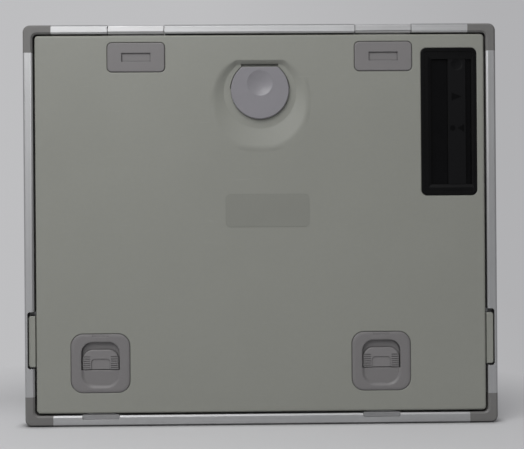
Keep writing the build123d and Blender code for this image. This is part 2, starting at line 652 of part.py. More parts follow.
def latch_spring():
    """Flat zigzag spring between the bolt and its stop on the lid."""
    half = (SPRING_W - SPRING_WIRE) / 2
    points = [(half if turn % 2 else -half, BOLT_ABOVE + SPRING_WIRE / 2
               + turn * (SPRING_FOLDS * SPRING_PITCH - SPRING_WIRE) / SPRING_FOLDS)
              for turn in range(SPRING_FOLDS + 1)]
    front = (BOLT_FRONT + BOLT_BACK - SPRING_WIRE) / 2
    return slab(trace(Polyline(*points), SPRING_WIRE), front, front + SPRING_WIRE)


# ---------------------------------------------------------------- card clip
def clip_ear(side):
    """Ear that holds the end of the clip's pin, between the floor and the disc."""
    low, high = sorted((side * (CLIP_REACH - CLIP_EAR_W), side * CLIP_REACH))
    return block(low, high, DISC_BACK + SOFT_GAP, CLIP_WELL_FLOOR,
                 CLIP_Z - CLIP_BARREL_R, CLIP_Z + CLIP_BARREL_R)


def clip_barrel_room():
    half = CLIP_BARREL_W / 2 + CLIP_SIDE_PLAY
    reach = CLIP_BARREL_R + CLIP_SIDE_PLAY
    return block(-half, half, DISH_FLOOR, BACKPLATE_FRONT, CLIP_Z - reach, CLIP_Z + reach)


def clip_disc():
    round_part = Pos(0, DISC_Z) * Circle(DISC_R)
    flat = span(-DISC_R, DISC_R, DISC_Z - DISC_R, DISC_Z + DISC_FLAT)
    outline = round_part & flat
    disc = slab(outline, DISC_FACE, DISC_BACK)
    disc = chamfer(front_face(disc).edges(), DISC_BEVEL)
    disc -= dimple(0, DISC_Z + DIMPLE_UP, DISC_FACE, DIMPLE_R, DIMPLE_DEPTH)
    half = CLIP_BARREL_W / 2
    disc += block(-half, half, DISC_BACK, CLIP_Y, CLIP_Z - CLIP_BARREL_R, CLIP_Z + CLIP_BARREL_R)
    disc += rod_x(-half, half, CLIP_Y, CLIP_Z, CLIP_BARREL_R)
    return disc - rod_x(-half, half, CLIP_Y, CLIP_Z, CLIP_PIN_R + RUN_PLAY)


def clip_pin():
    return rod_x(-CLIP_REACH, CLIP_REACH, CLIP_Y, CLIP_Z, CLIP_PIN_R)


def clip_spring():
    """Bent leaf on the well floor that pushes the pressed half of the disc back out."""
    high = DISC_Z + DISC_FLAT - DISC_BEVEL
    low = high - LEAF_SPRING_L
    tip = DISC_BACK + SOFT_GAP
    floor = CLIP_WELL_FLOOR
    outline = Polyline((low, floor), (high, floor), (high, floor - LEAF_SPRING_T),
                       (low + LEAF_SPRING_T, floor - LEAF_SPRING_T), (high, tip + LEAF_SPRING_T),
                       (high, tip), (low, floor - LEAF_SPRING_T), close=True)
    side_view = Plane(origin=(-LEAF_SPRING_W / 2, 0, 0), x_dir=(0, 0, 1), z_dir=(-1, 0, 0))
    return extrude(side_view * make_face(outline), -LEAF_SPRING_W)


# ---------------------------------------------------------------- identification window
def id_tub_outline(grow):
    shrink = 2 * (ID_TUB_MARGIN - grow)
    return panel(ID_X, ID_Z, ID_W - shrink, ID_H - shrink)


def id_well_outline(grow, grow_right):
    return span(ID_LEFT + ID_WELL_LEFT - grow, ID_LEFT + ID_W - ID_WELL_RIGHT + grow_right,
                ID_TOP - ID_H + ID_WELL_END - grow, ID_TOP - ID_WELL_END + grow)


def id_aperture(front, back):
    """Light path to the film under the closed shutter."""
    x0 = ID_LEFT + SHUTTER_LEFT + APERTURE_LAP
    x1 = ID_LEFT + SHUTTER_LEFT + SHUTTER_W - APERTURE_LAP
    end = ID_WELL_END + APERTURE_LAP
    return block(x0, x1, front, back, ID_TOP - ID_H + end, ID_TOP - end)


def id_housing():
    housing = slab(panel(ID_X, ID_Z, ID_W, ID_H, ID_R), ID_FACE, POCKET)
    housing = chamfer(front_face(housing).edges(), ID_PROUD)
    housing += slab(id_tub_outline(0), POCKET, BACKPLATE_FRONT)
    step = ID_FACE + ID_RIM_STEP
    rim = 2 * ID_RIM_W
    housing -= slab(panel(ID_X, ID_Z, ID_W - rim, ID_H - rim, ID_R - ID_RIM_W), ID_FACE, step)
    top_of_band = Plane.XZ.offset(-step) * id_well_outline(ID_BAND_W, ID_BAND_RIGHT)
    foot_of_band = Plane.XZ.offset(-step - ID_BAND_DEPTH) * id_well_outline(0, 0)
    housing -= loft([top_of_band, foot_of_band])
    housing -= slab(id_well_outline(0, 0), step, ID_FLOOR)
    x0 = ID_LEFT + SHUTTER_LEFT
    reach = SHUTTER_TONGUE + SHUTTER_END_PLAY
    housing -= block(x0 - SHUTTER_TRAVEL - SHUTTER_END_PLAY, x0 + SHUTTER_W + SHUTTER_END_PLAY,
                     ID_FLOOR - SHUTTER_TONGUE_T - 2 * SLIDE_PLAY, ID_FLOOR,
                     ID_TOP - ID_H + ID_WELL_END - reach, ID_TOP - ID_WELL_END + reach)
    housing -= slab(panel(ID_LEFT + ID_CLIP_NOTCH_X, ID_TOP - ID_H + ID_CLIP_NOTCH_UP,
                          ID_CLIP_NOTCH_W, ID_CLIP_NOTCH_H), ID_FACE, step + ID_CLIP_NOTCH_DEPTH)
    return housing - id_aperture(ID_FLOOR, BACKPLATE_FRONT)


def id_shutter():
    """Sliding shutter: a raised grip strip with a thin tongue at each end in the housing's grooves."""
    x0 = ID_LEFT + SHUTTER_LEFT
    x1 = x0 + SHUTTER_W
    back = ID_FLOOR - SLIDE_PLAY
    low = ID_TOP - ID_H + ID_WELL_END
    high = ID_TOP - ID_WELL_END
    strip = block(x0, x1, back - SHUTTER_T, back, low + SHUTTER_END_PLAY, high - SHUTTER_END_PLAY)
    strip += block(x0, x1, back - SHUTTER_TONGUE_T, back, low - SHUTTER_TONGUE, high + SHUTTER_TONGUE)
    return strip - dimple((x0 + x1) / 2, ID_TOP - SHUTTER_DIMPLE_DROP, back - SHUTTER_T,
                          SHUTTER_DIMPLE_R, SHUTTER_DIMPLE_DEPTH)


# ---------------------------------------------------------------- layers inside the lid
def lid_backplate():
    plate = slab(lid_outline(LID_SKIRT + BACKPLATE_PLAY, 0), BACKPLATE_FRONT, BACKPLATE_BACK)
    return plate - id_aperture(BACKPLATE_FRONT, BACKPLATE_BACK)


def lead_foil():
    foil = slab(lid_outline(LID_SKIRT + FOIL_MARGIN, 0), BACKPLATE_BACK, LEAD_BACK)
    return foil - id_aperture(BACKPLATE_BACK, LEAD_BACK)


def pressure_pad():
    pad = slab(inset(BAND + BACK_SCREEN_MARGIN), LEAD_BACK, BACK_SCREEN_FRONT)
    return pad - id_aperture(LEAD_BACK, BACK_SCREEN_FRONT)


def back_screen():
    screen = slab(inset(BAND + BACK_SCREEN_MARGIN), BACK_SCREEN_FRONT, BACK_SCREEN_BACK)
    return screen - id_aperture(BACK_SCREEN_FRONT, BACK_SCREEN_BACK)


# ---------------------------------------------------------------- write the nodes
ring = frame_ring()
lower_right = corner_right(ring, at_top=False)
upper_right = corner_right(ring, at_top=True)
right_rail = rail_right(ring)
save("rail_top", rail_top(ring))
save("rail_bottom", rail_bottom(ring))
save("rail_right", right_rail)
save("rail_left", mirrored(right_rail))
save("corner_bottom_right", lower_right)
save("corner_bottom_left", mirrored(lower_right))
save("corner_top_right", upper_right)
save("corner_top_left", mirrored(upper_right))
save("tube_side_panel", tube_side_panel())
save("front_screen", front_screen())
save("light_seal", light_seal())

save("lid_shell", lid_shell())
save("lift_tab_right", lift_tab())
save("lift_tab_left", mirrored(lift_tab()))
save("lid_backplate", lid_backplate())
save("lead_foil", lead_foil())
save("pressure_pad", pressure_pad())
save("back_screen", back_screen())
save("id_housing", id_housing())
save("id_shutter", id_shutter())
save("clip_disc", clip_disc())
save("clip_pin", clip_pin())
save("clip_spring", clip_spring())

for side, x in HINGES.items():
    save(f"hinge_pin_{side}", hinge_pin(x))
    save(f"hinge_leaf_{side}", hinge_leaf(ring, x))
    save(f"hinge_cover_{side}", hinge_cover(x))

for side, x in LATCHES.items():
    at = Pos(x, 0, LATCH_Z)
    save(f"latch_keeper_{side}", latch_keeper(x))
    save(f"latch_plate_{side}", at * latch_plate())
    save(f"latch_button_{side}", at * latch_button())
    save(f"latch_bolt_{side}", at * latch_bolt())
    save(f"latch_spring_{side}", at * latch_spring())
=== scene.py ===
import json
import math

import bmesh
import bpy
from mathutils import Matrix, Vector, noise as smooth_noise


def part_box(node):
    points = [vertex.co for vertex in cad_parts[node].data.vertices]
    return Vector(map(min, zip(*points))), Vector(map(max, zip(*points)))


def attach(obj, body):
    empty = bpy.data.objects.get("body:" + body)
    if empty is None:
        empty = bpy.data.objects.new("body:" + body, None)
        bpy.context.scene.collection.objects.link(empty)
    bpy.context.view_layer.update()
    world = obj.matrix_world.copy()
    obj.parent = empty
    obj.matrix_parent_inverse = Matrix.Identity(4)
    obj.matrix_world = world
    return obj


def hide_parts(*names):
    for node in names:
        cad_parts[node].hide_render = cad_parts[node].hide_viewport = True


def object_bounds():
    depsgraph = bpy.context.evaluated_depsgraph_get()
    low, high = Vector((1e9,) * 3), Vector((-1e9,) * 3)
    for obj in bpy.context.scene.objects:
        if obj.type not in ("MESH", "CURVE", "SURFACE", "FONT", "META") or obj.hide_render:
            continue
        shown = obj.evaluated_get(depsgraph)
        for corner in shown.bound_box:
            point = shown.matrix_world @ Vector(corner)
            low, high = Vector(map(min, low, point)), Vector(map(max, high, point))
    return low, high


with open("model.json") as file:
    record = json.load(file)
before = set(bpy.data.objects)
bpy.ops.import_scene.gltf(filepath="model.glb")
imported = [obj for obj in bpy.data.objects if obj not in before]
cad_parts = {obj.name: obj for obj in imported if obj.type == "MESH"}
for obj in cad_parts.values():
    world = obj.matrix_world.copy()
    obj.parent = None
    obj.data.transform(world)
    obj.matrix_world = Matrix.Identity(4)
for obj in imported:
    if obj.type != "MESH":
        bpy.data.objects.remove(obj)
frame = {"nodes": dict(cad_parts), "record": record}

# X-ray film cassette standing on its bottom edge, seen square on from the lid side.
# Metres, in the frame's own axes: +X right, +Z up, the lid looks along -Y.

CAD_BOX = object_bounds()
NODES = frame["nodes"]
MM = 0.001

# ---------------------------------------------------------------- camera
IMAGE_W = 524
CAMERA_AT = Vector((-0.0091, -0.7000, 0.1381))
CAMERA_YAW = -0.81          # degrees, positive turns to the left
CAMERA_PITCH = 0.03
CAMERA_ROLL = 0.43
FOCAL_PX = 1002.1           # focal length in pixels of the 524 pixel wide picture
SENSOR = 36.0               # millimetres


def aim_camera():
    data = bpy.data.cameras.new("camera")
    data.sensor_width = SENSOR
    data.lens = FOCAL_PX * SENSOR / IMAGE_W
    camera = bpy.data.objects.new("camera", data)
    turn = (Matrix.Rotation(math.radians(CAMERA_YAW), 4, "Z")
            @ Matrix.Rotation(math.radians(CAMERA_PITCH), 4, "X")
            @ Matrix.Rotation(math.radians(CAMERA_ROLL), 4, "Y")
            @ Matrix.Rotation(math.radians(90), 4, "X"))
    camera.matrix_world = Matrix.Translation(CAMERA_AT) @ turn
    bpy.context.scene.collection.objects.link(camera)
    bpy.context.scene.camera = camera


aim_camera()
bpy.context.scene.view_settings.view_transform = "Standard"


# ---------------------------------------------------------------- shader helpers
MIX_FIRST, MIX_SECOND, MIX_RESULT = 6, 7, 2     # the mix node's colour sockets
WHITE = (1.0, 1.0, 1.0)
# colour toward which the painted shade darkens corners and the paper at the object's foot
PAINTED_SHADE_DARK = (0.004, 0.004, 0.004)
EDGE_GAIN, EDGE_FLOOR = 14.0, 0.05              # how steeply, and from where, an edge shows
HEMMED_IN, OPEN = 0.35, 0.95                    # open share of the surroundings: under full painted shade, and unshaded
MOST = (0.3, 0.7)                               # span in which most of a noise's values lie


def surface(name, colour, roughness, metallic=0.0):
    """A new material whose Principled shader has these plain values."""
    made = bpy.data.materials.new(name)
    made.use_nodes = True
    shader_input(made, "Base Color").default_value = (*colour, 1)
    shader_input(made, "Roughness").default_value = roughness
    shader_input(made, "Metallic").default_value = metallic
    return made


def add_node(made, kind, values=None, **settings):
    """A node with its settings and the plain values of its inputs."""
    node = made.node_tree.nodes.new(kind)
    for key, value in settings.items():
        setattr(node, key, value)
    for key, value in (values or {}).items():
        node.inputs[key].default_value = value
    return node


def connect(made, source, target):
    made.node_tree.links.new(source, target)


def shader_input(made, name):
    return made.node_tree.nodes["Principled BSDF"].inputs[name]


def set_colour(made, colour):
    connect(made, colour, shader_input(made, "Base Color"))


def set_roughness(made, pattern, span, smooth, rough):
    """Roughness that goes from one value to the other as the pattern crosses the span."""
    connect(made, spread(made, pattern, *span, smooth, rough), shader_input(made, "Roughness"))


def set_normal(made, normal):
    connect(made, normal, shader_input(made, "Normal"))


def place(made, stretch=(1, 1, 1)):
    """The point in metres, with each axis scaled."""
    coordinate = add_node(made, "ShaderNodeTexCoord")
    mapping = add_node(made, "ShaderNodeMapping", {"Scale": stretch})
    connect(made, coordinate.outputs["Object"], mapping.inputs["Vector"])
    return mapping.outputs["Vector"]


def position(made):
    """Sockets of the point's X, Y and Z in metres."""
    point = add_node(made, "ShaderNodeSeparateXYZ")
    connect(made, place(made), point.inputs["Vector"])
    return [point.outputs[axis] for axis in "XYZ"]


def drawn_out(along, factor):
    """Stretch for noise that runs in lines along one axis."""
    return tuple(factor if axis == along else 1 for axis in "XYZ")


def noise(made, size, detail=2.0, stretch=(1, 1, 1), distortion=0.0):
    """Noise whose features are about this many metres across."""
    node = add_node(made, "ShaderNodeTexNoise",
                    {"Scale": 1 / size, "Detail": detail, "Distortion": distortion})
    connect(made, place(made, stretch), node.inputs["Vector"])
    return node.outputs["Fac"]


def spread(made, value, low, high, to_low=0.0, to_high=1.0):
    """Map a value from one range to another, held at the ends."""
    node = add_node(made, "ShaderNodeMapRange",
                    {"From Min": low, "From Max": high, "To Min": to_low, "To Max": to_high})
    connect(made, value, node.inputs["Value"])
    return node.outputs["Result"]


def between(made, value, low, high, fade):
    """1 from low to high, falling to 0 over the fade outside them."""
    rising = spread(made, value, low - fade, low)
    falling = spread(made, value, high + fade, high)
    return times(made, rising, falling)


def combine(made, operation, first, second=0.0):
    """Arithmetic on one or two values, each a socket or a plain number."""
    node = add_node(made, "ShaderNodeMath", operation=operation)
    for socket, value in zip(node.inputs, (first, second)):
        if isinstance(value, (int, float)):
            socket.default_value = value
        else:
            connect(made, value, socket)
    return node.outputs["Value"]


def times(made, first, second):
    return combine(made, "MULTIPLY", first, second)


def distance(made, first, second):
    """How far off a point is whose two coordinates are these."""
    squares = combine(made, "ADD", times(made, first, first), times(made, second, second))
    return combine(made, "POWER", squares, 0.5)


def dot_product(made, first, second):
    """Dot product of a vector socket with another, or with a plain vector."""
    node = add_node(made, "ShaderNodeVectorMath", operation="DOT_PRODUCT")
    connect(made, first, node.inputs[0])
    if isinstance(second, Vector):
        node.inputs[1].default_value = second
    else:
        connect(made, second, node.inputs[1])
    return node.outputs["Value"]


def blend_colours(made, amount, first, second):
    """Mix of two colours, each a plain colour or a socket."""
    node = add_node(made, "ShaderNodeMix", data_type="RGBA")
    connect(made, amount, node.inputs["Factor"])
    for socket, value in ((node.inputs[MIX_FIRST], first), (node.inputs[MIX_SECOND], second)):
        if isinstance(value, tuple):
            socket.default_value = (*value, 1)
        else:
            connect(made, value, socket)
    return node.outputs[MIX_RESULT]


def shade(colour, factor):
    return tuple(min(1.0, channel * factor) for channel in colour)


def varied(made, colour, pattern, span, low, high):
    """The colour, multiplied by a factor that goes from low to high as the pattern crosses the span."""
    return blend_colours(made, spread(made, pattern, *span), shade(colour, low), shade(colour, high))


def tinted(made, base, pattern, span, strength, colour):
    """The base, blended toward a colour by up to this strength as the pattern crosses the span."""
    return blend_colours(made, spread(made, pattern, *span, 0.0, strength), base, colour)


def rounded_edges(made, radius):
    """Normal as if every sharp edge had this radius."""
    node = add_node(made, "ShaderNodeBevel", {"Radius": radius}, samples=4)
    return node.outputs["Normal"]


def edge_mask(made, rounded):
    """1 at edges, 0 on flat stretches, from how far the rounded normal leaves the true one."""
    geometry = add_node(made, "ShaderNodeNewGeometry")
    agreement = dot_product(made, rounded, geometry.outputs["Normal"])
    away = combine(made, "SUBTRACT", 1.0, agreement)
    return spread(made, times(made, away, EDGE_GAIN), EDGE_FLOOR, 1.0)


def rubbed_edges(made, base, rounded, patches, span, strength, colour):
    """The base, rubbed toward a colour along its edges, most where the patches are high."""
    rubbed = times(made, edge_mask(made, rounded), spread(made, patches, *span))
    return blend_colours(made, times(made, rubbed, strength), base, colour)


def painted_corner_shade(made, colour, reach, depth):
    """The colour with painted shade, darkened by up to this share where faces meet within the reach."""
    hollow = add_node(made, "ShaderNodeAmbientOcclusion", {"Distance": reach}, samples=6)
    amount = spread(made, hollow.outputs["AO"], HEMMED_IN, OPEN, depth, 0.0)
    return blend_colours(made, amount, colour, PAINTED_SHADE_DARK)


def relief(made, height, depth, base_normal=None):
    """Bump of this depth in metres, on top of another normal."""
    node = add_node(made, "ShaderNodeBump", {"Distance": depth, "Strength": 1.0})
    connect(made, height, node.inputs["Height"])
    if base_normal is not None:
        connect(made, base_normal, node.inputs["Normal"])
    return node.outputs["Normal"]


# ---------------------------------------------------------------- materials of the object
def moulded(name, colour, roughness, specular=0.5, grain=0.35 * MM, grain_depth=0.006 * MM,
            edge=0.3 * MM, wear=1.25, corner_shade=0.75):
    """Moulded plastic: broad tone drift, fine spark-eroded grain, rubbed edges and faint scuffs.

    Its edges have the radius edge and are paler by wear, and its corners are darkened by painted shade."""
    made = surface(name, colour, roughness)
    shader_input(made, "Specular IOR Level").default_value = specular
    clouds = noise(made, 90 * MM, detail=3.0)
    flecks = noise(made, 1.1 * MM, detail=4.0)
    patches = noise(made, 5 * MM, detail=3.0)
    scuffs = noise(made, 14 * MM, detail=6.0, stretch=(1, 1, 2.5))
    rounded = rounded_edges(made, edge)
    base = varied(made, colour, clouds, MOST, 0.96, 1.04)
    base = tinted(made, base, flecks, (0.25, 0.75), 0.35, shade(colour, 0.93))
    base = rubbed_edges(made, base, rounded, patches, (0.4, 0.75), 0.7, shade(colour, wear))
    # painted shade where faces meet
    set_colour(made, painted_corner_shade(made, base, 1.1 * MM, corner_shade))
    set_roughness(made, scuffs, (0.35, 0.7), roughness - 0.05, roughness + 0.06)
    set_normal(made, relief(made, noise(made, grain), grain_depth, rounded))
    return made


WELL_FROM = 1.8 * MM        # behind the housing's face; what lies deeper is the well


def window_plastic(name, colour):
    """Moulded black of the window housing, polished inside its well."""
    made = moulded(name, colour, 0.34, specular=0.16, wear=1.8)
    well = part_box("id_housing")[0].y + WELL_FROM
    wiped = noise(made, 11 * MM, detail=5.0)
    polished = spread(made, wiped, 0.3, 0.75, 0.14, 0.22)
    plain = spread(made, wiped, 0.3, 0.75, 0.31, 0.39)
    deep = spread(made, position(made)[1], well, well + 0.3 * MM)
    change = times(made, deep, combine(made, "SUBTRACT", polished, plain))
    connect(made, combine(made, "ADD", plain, change), shader_input(made, "Roughness"))
    return made


def shutter_plastic(name, colour):
    """Moulded black of the shutter, dull inside its thumb dimple."""
    made = moulded(name, colour, 0.46, specular=0.15, wear=1.8)
    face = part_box("id_shutter")[0].y
    dimple = (face + 0.03 * MM, face + 0.2 * MM)        # from its brim inwards
    set_roughness(made, position(made)[1], dimple, 0.46, 0.85)
    return made


LID_ROUNDING, DISH_ROUNDING = 1.1 * MM, 5 * MM
DISH_MIDDLE_UP = 12.1 * MM              # middle of the dish's rim, above the clip disc's lowest point
DISH_RIM = (31 * MM, 35 * MM)           # the soft part of the rim, from its middle
DISH_RIM_FADE = 3 * MM
DISH_FLAT_FADE = 5 * MM                 # above the disc, where the rim is straight and not soft


def lid_rounding(made):
    """Normal that lets the clip's dish run out softly into the skin, and rounds the lid's other edges."""
    x, _, z = position(made)
    low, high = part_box("clip_disc")
    from_middle = distance(made, x, combine(made, "SUBTRACT", z, low.z + DISH_MIDDLE_UP))
    rim = between(made, from_middle, *DISH_RIM, DISH_RIM_FADE)
    rim = times(made, rim, spread(made, z, high.z + DISH_FLAT_FADE, high.z))
    node = add_node(made, "ShaderNodeBevel", samples=8)
    connect(made, spread(made, rim, 0.0, 1.0, LID_ROUNDING, DISH_ROUNDING), node.inputs["Radius"])
    return node.outputs["Normal"]


HAIR_SPACING = 1 / 55       # metres between hair scratches


def painted_lid(name, colour):
    """Satin lacquer on the lid: faint orange peel, cloudy drift and a few hair scratches."""
    made = surface(name, colour, 0.42)
    clouds = noise(made, 120 * MM, detail=4.0)
    mottle = noise(made, 2.6 * MM, detail=3.0)
    hairs = noise(made, HAIR_SPACING, stretch=(1, 1, 14), distortion=1.2)
    patches = noise(made, 7 * MM, detail=4.0)
    handled = noise(made, 45 * MM, detail=5.0)
    fine_peel = noise(made, 0.25 * MM, detail=1.0)
    peel = combine(made, "ADD", noise(made, 1.3 * MM, detail=1.0), times(made, fine_peel, 0.3))
    base = varied(made, colour, clouds, MOST, 0.975, 1.025)
    base = tinted(made, base, mottle, MOST, 0.3, shade(colour, 0.94))
    base = tinted(made, base, hairs, (0.715, 0.735), 0.1, shade(colour, 1.5))
    base = rubbed_edges(made, base, rounded_edges(made, LID_ROUNDING), patches,
                        (0.5, 0.75), 0.5, shade(colour, 1.3))
    # painted shade where faces meet
    set_colour(made, painted_corner_shade(made, base, 0.9 * MM, 0.65))
    set_roughness(made, handled, (0.35, 0.7), 0.38, 0.48)
    set_normal(made, relief(made, peel, 0.004 * MM, lid_rounding(made)))
    return made


def extruded(name, colour, along, roughness=0.5, painted_light_and_shade=None):
    """Satin anodised extrusion: die lines along its length, cloudy anodising and bright rubbed edges.

    The last argument adds painted light and shade to the colour at one place."""
    made = surface(name, colour, roughness, metallic=1.0)
    stretch = drawn_out(along, 0.012)
    lines = noise(made, 0.22 * MM, stretch=stretch)
    bands = noise(made, 1.6 * MM, stretch=stretch)
    clouds = noise(made, 30 * MM, detail=4.0)
    patches = noise(made, 6 * MM, detail=3.0)
    rounded = rounded_edges(made, 0.25 * MM)
    base = varied(made, colour, bands, MOST, 0.95, 1.05)
    base = tinted(made, base, clouds, (0.35, 0.7), 0.35, shade(colour, 0.88))
    base = rubbed_edges(made, base, rounded, patches, (0.4, 0.7), 0.5, shade(colour, 1.1))
    if painted_light_and_shade:
        base = painted_light_and_shade(made, base, colour)
    # painted shade where faces meet
    set_colour(made, painted_corner_shade(made, base, 0.6 * MM, 0.2))
    set_roughness(made, lines, MOST, roughness - 0.05, roughness + 0.07)
    set_normal(made, relief(made, lines, 0.003 * MM, rounded))
    return made


def painted_shade_top_arris(made, base, colour):
    """The colour with painted shade along its topmost edge."""
    top = CAD_BOX[1][2]
    arris = spread(made, position(made)[2], top - 0.8 * MM, top - 0.4 * MM)
    return blend_colours(made, arris, base, shade(colour, 0.6))


def painted_highlight_inner_edge(made, base, colour):
    """The colour with a painted highlight on the side rail's inner edge, strongest toward the top, near the
    hinges.
    """
    x, y, z = position(made)
    lid_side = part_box("lid_shell")[1].x
    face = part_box("rail_left")[0].y
    edge = between(made, combine(made, "ABSOLUTE", x), lid_side + 0.9 * MM, lid_side + 2.5 * MM, 0.5 * MM)
    front = spread(made, y, face + 1.0 * MM, face + 0.6 * MM)
    toward_top = spread(made, z, 130 * MM, 240 * MM)
    highlight = times(made, edge, times(made, front, toward_top))
    return blend_colours(made, highlight, base, shade(colour, 1.65))


KNUCKLE_FOOT = (271.9 * MM, 272.3 * MM)             # Z of the line between knuckle and leaf


def knuckle_painted_shade(made, base, colour):
    """The colour with painted shade along the line where the hinge's knuckle meets its leaf."""
    line = between(made, position(made)[2], *KNUCKLE_FOOT, 0.3 * MM)
    return blend_colours(made, line, base, shade(colour, 0.45))


def brushed_steel(name, colour, roughness):
    """Brushed sheet steel: lines across the cassette and a few cloudy stains."""
    made = surface(name, colour, roughness, metallic=1.0)
    lines = noise(made, 0.18 * MM, detail=3.0, stretch=drawn_out("X", 0.02))
    stains = noise(made, 22 * MM, detail=5.0)
    base = varied(made, colour, lines, MOST, 0.88, 1.08)
    set_colour(made, tinted(made, base, stains, (0.45, 0.8), 0.4, shade(colour, 0.75)))
    set_roughness(made, stains, (0.3, 0.75), roughness, roughness + 0.14)
    set_normal(made, relief(made, lines, 0.002 * MM, rounded_edges(made, 0.12 * MM)))
    return made


def laminate(name, colour):
    """Dark resin laminate: very fine crossed fibres under a smooth coat, lightly scuffed."""
    made = surface(name, colour, 0.34)
    across = noise(made, 0.9 * MM, stretch=drawn_out("X", 0.05))
    upright = noise(made, 0.9 * MM, stretch=drawn_out("Z", 0.05))
    fibres = times(made, across, upright)
    scuffs = noise(made, 26 * MM, detail=7.0, stretch=(1, 1, 0.4))
    set_colour(made, varied(made, colour, fibres, (0.15, 0.4), 0.75, 1.5))
    set_roughness(made, scuffs, (0.35, 0.7), 0.28, 0.46)
    set_normal(made, relief(made, fibres, 0.003 * MM))
    shader_input(made, "Coat Weight").default_value = 0.25
    shader_input(made, "Coat Roughness").default_value = 0.2
    return made


def screen_coating(name, colour):
    """White intensifying screen: smooth satin coat, faint yellowing and specks."""
    yellowed, speck = (0.82, 0.79, 0.68), (0.45, 0.43, 0.40)
    made = surface(name, colour, 0.38)
    aged = noise(made, 70 * MM, detail=4.0)
    dust = noise(made, 0.8 * MM, detail=1.0)
    base = tinted(made, colour, aged, (0.35, 0.75), 0.5, yellowed)
    set_colour(made, tinted(made, base, dust, (0.76, 0.80), 0.35, speck))
    set_roughness(made, aged, MOST, 0.32, 0.44)
    set_normal(made, relief(made, noise(made, 0.6 * MM), 0.002 * MM))
    return made


def lead_sheet(name, colour):
    """Dull lead foil with patches of tarnish and slight creases."""
    made = surface(name, colour, 0.55, metallic=0.6)
    tarnish = noise(made, 18 * MM, detail=6.0)
    set_colour(made, varied(made, colour, tarnish, (0.3, 0.75), 1.25, 0.7))
    set_roughness(made, tarnish, MOST, 0.45, 0.65)
    set_normal(made, relief(made, noise(made, 3 * MM, detail=4.0), 0.02 * MM))
    return made


def open_cell_foam(name, colour):
    """Soft foam: small cells with darker pores, dust and a slight nap."""
    dusty = (0.12, 0.115, 0.11)
    made = surface(name, colour, 0.95)
    cells = add_node(made, "ShaderNodeTexVoronoi", {"Scale": 1 / (0.7 * MM)}, feature="F1")
    connect(made, place(made), cells.inputs["Vector"])
    pores = spread(made, cells.outputs["Distance"], 0.1, 0.6)
    dust = noise(made, 25 * MM, detail=5.0)
    base = blend_colours(made, pores, shade(colour, 0.35), shade(colour, 1.35))
    set_colour(made, tinted(made, base, dust, (0.5, 0.8), 0.3, dusty))
    set_normal(made, relief(made, pores, 0.18 * MM))
    shader_input(made, "Sheen Weight").default_value = 0.15
    shader_input(made, "Specular IOR Level").default_value = 0.2
    return made


def wool_felt(name, colour):
    """Pressed felt: matted fibres in every direction, with a soft sheen."""
    made = surface(name, colour, 0.98)
    upright_fibres = noise(made, 0.35 * MM, detail=4.0, stretch=drawn_out("Z", 0.25))
    cross_fibres = noise(made, 0.35 * MM, detail=4.0, stretch=drawn_out("X", 0.25))
    matted = combine(made, "ADD", upright_fibres, cross_fibres)
    set_colour(made, varied(made, colour, matted, (0.75, 1.3), 0.5, 2.2))
    set_normal(made, relief(made, matted, 0.12 * MM))
    shader_input(made, "Sheen Weight").default_value = 0.4
    shader_input(made, "Sheen Roughness").default_value = 0.6
    shader_input(made, "Specular IOR Level").default_value = 0.15
    return made


LID_GREY = (0.2405, 0.2445, 0.218)
WARM_GREY = (0.178, 0.171, 0.172)
COOL_GREY = (0.220, 0.214, 0.230)
CORNER_GREY = (0.145, 0.142, 0.138)
BLACK = (0.0022, 0.0022, 0.0026)
RAIL_GREY = (0.50, 0.503, 0.508)

PAINT = {
    "lid_paint": painted_lid("lid_paint", LID_GREY),
    "tab_grey": painted_lid("tab_grey", shade(LID_GREY, 1.05)),
    "grey_plastic": moulded("grey_plastic", WARM_GREY, 0.46, edge=0.7 * MM),
    "button_plastic": moulded("button_plastic", shade(WARM_GREY, 1.05), 0.46, corner_shade=0.4),
    "disc_plastic": moulded("disc_plastic", COOL_GREY, 0.36, specular=0.6),
    "corner_plastic": moulded("corner_plastic", CORNER_GREY, 0.5, wear=1.4),
    "black_plastic": window_plastic("black_plastic", BLACK),
    "shutter_plastic": shutter_plastic("shutter_plastic", shade(BLACK, 1.35)),
    "keeper_grey": brushed_steel("keeper_grey", (0.37, 0.37, 0.375), 0.5),
    "steel": brushed_steel("steel", (0.52, 0.52, 0.53), 0.34),
    "spring_steel": brushed_steel("spring_steel", (0.33, 0.33, 0.36), 0.3),
    "aluminium_hinge": extruded("aluminium_hinge", (0.63, 0.63, 0.635), "X", 0.44, knuckle_painted_shade),
    "panel_laminate": laminate("panel_laminate", (0.030, 0.031, 0.034)),
    "screen_white": screen_coating("screen_white", (0.84, 0.84, 0.80)),
    "lead": lead_sheet("lead", (0.20, 0.20, 0.21)),
}
RAIL_ALONG_X = extruded("aluminium_rail_x", RAIL_GREY, "X")
# the side rails carry a painted highlight on their inner edges
RAIL_ALONG_Z = extruded("aluminium_rail_z", RAIL_GREY, "Z", painted_light_and_shade=painted_highlight_inner_edge)
# painted highlight: the top rail is a lighter copy of the rail grey, for the light from above that it
# catches
RAIL_AT_TOP_PAINTED_LIGHTER = extruded("aluminium_rail_top_painted_lighter", shade(RAIL_GREY, 1.18), "X", painted_light_and_shade=painted_shade_top_arris)
LATCH_PLASTIC = moulded("latch_plastic", shade(WARM_GREY, 0.96), 0.46, edge=1.6 * MM)
OWN_MATERIAL = {
    "rail_top": RAIL_AT_TOP_PAINTED_LIGHTER,
    "rail_bottom": RAIL_ALONG_X,
    "rail_left": RAIL_ALONG_Z,
    "rail_right": RAIL_ALONG_Z,
    "latch_plate_left": LATCH_PLASTIC,
    "latch_plate_right": LATCH_PLASTIC,
}


def dress(piece, material):
    piece.data.materials.clear()
    piece.data.materials.append(material)


